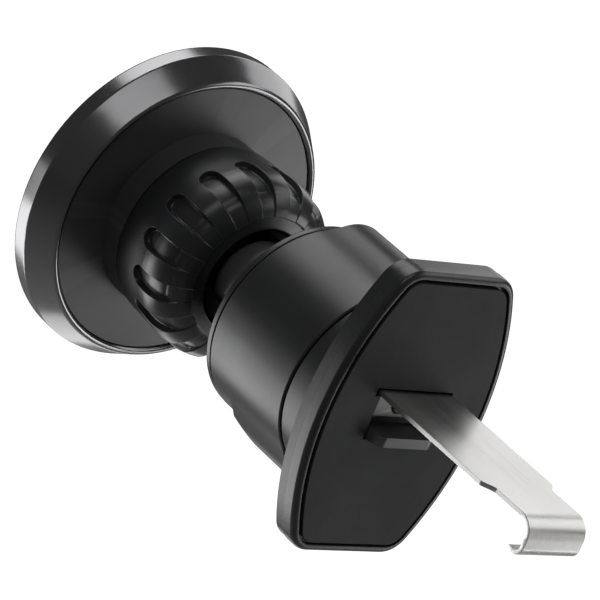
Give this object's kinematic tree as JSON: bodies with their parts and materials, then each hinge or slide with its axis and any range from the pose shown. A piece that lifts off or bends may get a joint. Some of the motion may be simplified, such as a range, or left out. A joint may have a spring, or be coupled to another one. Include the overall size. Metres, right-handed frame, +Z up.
{
  "type": "car vent phone mount",
  "caption": "Magnetic phone holder for a car air vent: a round magnetic head on a clamped ball joint, a turning knob that draws a steel hook onto the vent blade, and a padded plate.",
  "frame": {"origin": "centre of the grip pad's outer face, where the strip hook leaves the vent plate", "axes": "+Y along the main axis, out of the pad into the vent along the hook; -Y towards the phone; +Z up along the plate's long side; +X across the plate"},
  "size_m": [0.0588, 0.115, 0.0588],
  "materials": {
    "frame_plastic": "satin moulded",
    "pad_rubber": "matt",
    "rest_plastic": "satin",
    "housing_plastic": "satin moulded",
    "steel_hook": "brushed stainless",
    "steel_small": "zinc plated",
    "knob_plastic": "satin moulded",
    "inner_plastic": "moulded",
    "acetal": "moulded",
    "washer_rubber": "matt",
    "ball_plastic": "polished",
    "nut_plastic": "satin moulded",
    "rim_metal": "dark anodised",
    "back_plastic": "satin",
    "magnet": "nickel plated",
    "face_rubber": "soft matt"
  },
  "bodies": {
    "base": {"plate_frame": "frame_plastic", "vent_pad": "pad_rubber", "blade_rest": "rest_plastic", "plate_housing": "housing_plastic", "plate_screws": "steel_small", "rear_washer": "washer_rubber", "hub_sleeve": "inner_plastic", "hub_screws": "steel_small", "front_cap": "knob_plastic", "ball_stud": "ball_plastic"},
    "knob": {"knob_shell": "knob_plastic", "drive_sleeve": "acetal", "front_washer": "steel_small"},
    "hook": {"hook": "steel_hook", "hook_rivets": "steel_small", "carriage": "inner_plastic", "drive_pins": "steel_small"},
    "swivel": {"neck_ring": "washer_rubber"},
    "tilt": {"ball_seat": "acetal", "friction_ring": "washer_rubber"},
    "head": {"socket": "inner_plastic", "socket_screws": "steel_small", "head_back": "back_plastic", "head_rim": "rim_metal", "magnet_carrier": "inner_plastic", "magnet_ring": "magnet", "shunt_plate": "steel_small", "head_screws": "steel_small", "face_pad": "face_rubber"},
    "nut": {"ball_nut": "nut_plastic"}
  },
  "joints": [
    {"name": "knob_turn", "type": "hinge", "parent": "base", "child": "knob", "pos_m": [0, -0.02, 0], "axis": [0, 1, 0], "range_deg": [0, 720]},
    {"name": "hook_slide", "type": "slide", "parent": "base", "child": "hook", "axis": [0, 1, 0], "range_m": [-0.012, 0]},
    {"name": "head_swivel", "type": "hinge", "parent": "base", "child": "swivel", "pos_m": [0, -0.0412, 0], "axis": [0, 1, 0], "range_deg": [-180, 180]},
    {"name": "head_tilt", "type": "hinge", "parent": "swivel", "child": "tilt", "pos_m": [0, -0.0412, 0], "axis": [1, 0, 0], "range_deg": [-35, 35]},
    {"name": "head_spin", "type": "hinge", "parent": "tilt", "child": "head", "pos_m": [0, -0.0412, 0], "axis": [0, 1, 0], "continuous": true},
    {"name": "nut_turn", "type": "hinge", "parent": "head", "child": "nut", "pos_m": [0, -0.053, 0], "axis": [0, 1, 0], "range_deg": [-90, 0]}
  ],
  "couplings": [
    {"joint": "hook_slide", "follows": "knob_turn", "m_per_rad": -0.00095492}
  ]
}
